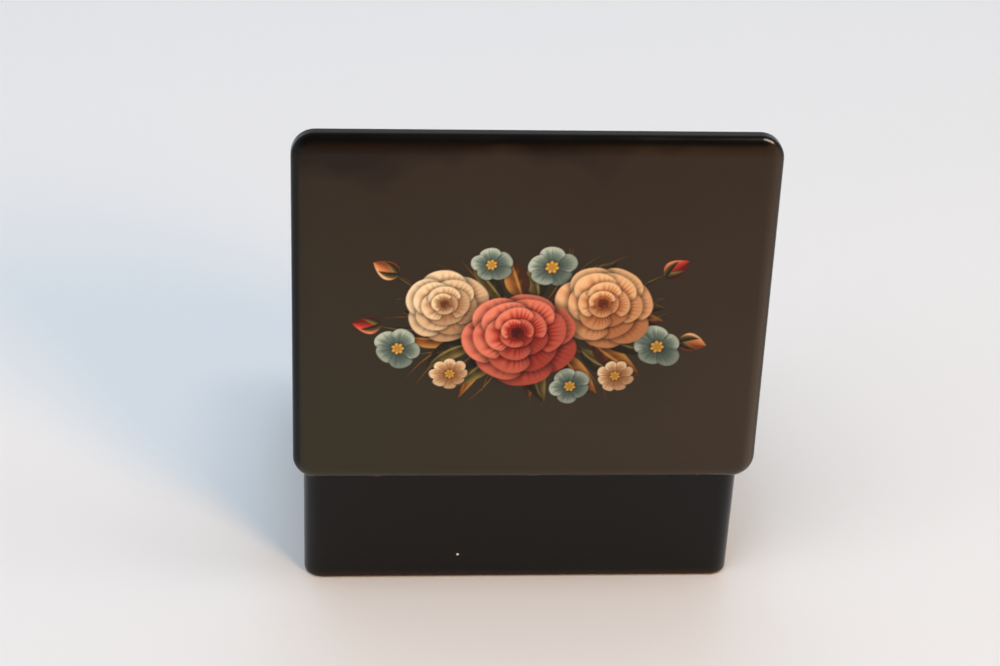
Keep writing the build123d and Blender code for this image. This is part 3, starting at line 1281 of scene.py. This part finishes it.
def lay_floor():
    """A round sheet of pale paper under the box."""
    bpy.ops.object.select_all(action="DESELECT")
    bpy.ops.mesh.primitive_circle_add(vertices=FLOOR_SIDES, radius=FLOOR_RADIUS, fill_type="NGON")
    floor = bpy.context.object
    floor.name = "floor"
    floor.data.materials.append(finish("paper"))


def light_sky():
    """Cool daylight from all round, but for a dim room behind and above the camera."""
    stage = bpy.context.scene.box_stage
    world = bpy.data.worlds.new("studio")
    world.use_nodes = True
    tree = world.node_tree
    tree.nodes.clear()
    place = add_node(tree, "ShaderNodeTexCoord")
    towards = add_node(
        tree,
        "ShaderNodeVectorMath",
        {0: place.outputs["Generated"], 1: heading_to(*DIM_HEADING)},
        operation="DOT_PRODUCT",
    )
    fade = add_node(
        tree,
        "ShaderNodeMapRange",
        {
            "Value": towards.outputs["Value"],
            "From Min": math.cos(math.radians(DIM_END)),
            "From Max": math.cos(math.radians(DIM_FULL)),
            "To Min": stage.sky,
            "To Max": stage.sky * stage.unlit,
        },
        interpolation_type="SMOOTHSTEP",
    )
    height = add_node(tree, "ShaderNodeSeparateXYZ", {"Vector": place.outputs["Generated"]})
    lower, upper = GLOW_HEIGHTS
    glow = add_node(
        tree,
        "ShaderNodeMapRange",
        {
            "Value": height.outputs["Z"],
            "From Min": lower,
            "From Max": upper,
            "To Min": HORIZON_GLOW,
            "To Max": 1.0,
        },
    )
    light = add_node(
        tree, "ShaderNodeMath", {0: fade.outputs["Result"], 1: glow.outputs["Result"]}, operation="MULTIPLY"
    )
    sky = rgba(bpy.context.scene.box_colours.sky)
    background = add_node(tree, "ShaderNodeBackground", {"Color": sky, "Strength": light.outputs[0]})
    add_node(tree, "ShaderNodeOutputWorld", {"Surface": background.outputs[0]})
    bpy.context.scene.world = world


def add_lamp(name, direction, width, height, watts, tint):
    """A soft lamp that points at the box from a direction."""
    target = Vector((0, 0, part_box("wall_tube")[1].z))
    bpy.ops.object.select_all(action="DESELECT")
    bpy.ops.object.light_add(type="AREA", location=target + LAMP_DISTANCE * direction)
    lamp = bpy.context.object
    lamp.name = name
    lamp.rotation_euler = direction.to_track_quat("Z", "Y").to_euler()
    lamp.data.shape = "RECTANGLE"
    lamp.data.size, lamp.data.size_y = width, height
    lamp.data.energy = watts
    lamp.data.color = tint
    return lamp


def hang_lamps():
    """Soft lamps that light the colours, and a window that only shows in the gloss."""
    stage, colours = bpy.context.scene.box_stage, bpy.context.scene.box_colours
    for name, heading, size, power_name, tint_name in LAMPS:
        watts, tint = getattr(stage, power_name), getattr(colours, tint_name)
        lamp = add_lamp(name, heading_to(*heading), *size, watts, tint)
        if name == GLOSS_LAMP:
            lamp.visible_diffuse = False
        else:
            lamp.visible_glossy = False


def place_camera():
    """The camera, at the photograph's viewing angle."""
    stage = bpy.context.scene.box_stage
    bpy.ops.object.camera_add(location=stage.eye)
    camera = bpy.context.object
    turn = Matrix.Rotation(stage.heading, 3, "Z") @ Matrix.Rotation(math.pi / 2 - stage.dip, 3, "X")
    camera.rotation_euler = (turn @ Matrix.Rotation(stage.roll, 3, "Z")).to_euler()
    camera.data.lens = stage.lens
    camera.data.clip_start = CLIP_START
    bpy.context.scene.camera = camera
    bpy.context.scene.view_settings.view_transform = "Standard"


class LACQUERBOX_OT_walls(bpy.types.Operator):
    """Model the wound walls, black outside and red inside"""

    bl_idname = "lacquer_box.walls"
    bl_label = "Build Walls"

    def execute(self, context):
        build_walls()
        return {"FINISHED"}


class LACQUERBOX_OT_base(bpy.types.Operator):
    """Model the base board in its rebate"""

    bl_idname = "lacquer_box.base"
    bl_label = "Build Base"

    def execute(self, context):
        build_base()
        return {"FINISHED"}


class LACQUERBOX_OT_lid(bpy.types.Operator):
    """Model the overhanging lid with its painted ground"""

    bl_idname = "lacquer_box.lid"
    bl_label = "Build Lid"

    def execute(self, context):
        build_lid()
        return {"FINISHED"}


class LACQUERBOX_OT_locating_panel(bpy.types.Operator):
    """Model the red panel under the lid that drops between the walls"""

    bl_idname = "lacquer_box.locating_panel"
    bl_label = "Build Locating Panel"

    def execute(self, context):
        build_locating_panel()
        return {"FINISHED"}


class LACQUERBOX_OT_flower_spray(bpy.types.Operator):
    """Paint the flower spray on the lid"""

    bl_idname = "lacquer_box.flower_spray"
    bl_label = "Paint Flower Spray"

    def execute(self, context):
        build_flower_spray()
        return {"FINISHED"}


class LACQUERBOX_OT_hinges(bpy.types.Operator):
    """Give the hinge leaves, pins and nails their brass"""

    bl_idname = "lacquer_box.hinges"
    bl_label = "Dress Hinges"

    def execute(self, context):
        dress_hinges()
        return {"FINISHED"}


class LACQUERBOX_OT_stage(bpy.types.Operator):
    """Set up the floor, the light and the camera"""

    bl_idname = "lacquer_box.stage"
    bl_label = "Set Stage"

    def execute(self, context):
        lay_floor()
        light_sky()
        hang_lamps()
        place_camera()
        return {"FINISHED"}


class LACQUERBOX_PT_panel(bpy.types.Panel):
    """Lists the build steps and what can be changed"""

    bl_idname = "LACQUERBOX_PT_panel"
    bl_label = "Lacquer Box"
    bl_space_type = "VIEW_3D"
    bl_region_type = "UI"
    bl_category = "Lacquer Box"

    def draw(self, context):
        for operator in OPERATORS:
            self.layout.operator(operator.bl_idname)
        for name, group in GROUPS.items():
            column = self.layout.column(heading=group.__doc__)
            for setting in group.__annotations__:
                column.prop(getattr(context.scene, name), setting)


GROUPS = {
    "box_sizes": BoxSizes,
    "box_spray": SpraySettings,
    "box_colours": FinishColours,
    "box_stage": StageSettings,
}
OPERATORS = (
    LACQUERBOX_OT_walls,
    LACQUERBOX_OT_base,
    LACQUERBOX_OT_lid,
    LACQUERBOX_OT_locating_panel,
    LACQUERBOX_OT_flower_spray,
    LACQUERBOX_OT_hinges,
    LACQUERBOX_OT_stage,
)


def register():
    for item in (*GROUPS.values(), *OPERATORS, LACQUERBOX_PT_panel):
        bpy.utils.register_class(item)
    for name, group in GROUPS.items():
        setattr(bpy.types.Scene, name, PointerProperty(type=group))


def unregister():
    for name in GROUPS:
        delattr(bpy.types.Scene, name)
    for item in (LACQUERBOX_PT_panel, *reversed(OPERATORS), *reversed(GROUPS.values())):
        bpy.utils.unregister_class(item)


def main():
    register()
    bpy.ops.lacquer_box.walls()
    bpy.ops.lacquer_box.base()
    bpy.ops.lacquer_box.lid()
    bpy.ops.lacquer_box.locating_panel()
    bpy.ops.lacquer_box.flower_spray()
    bpy.ops.lacquer_box.hinges()
    bpy.ops.lacquer_box.stage()


if __name__ == "__main__":
    main()
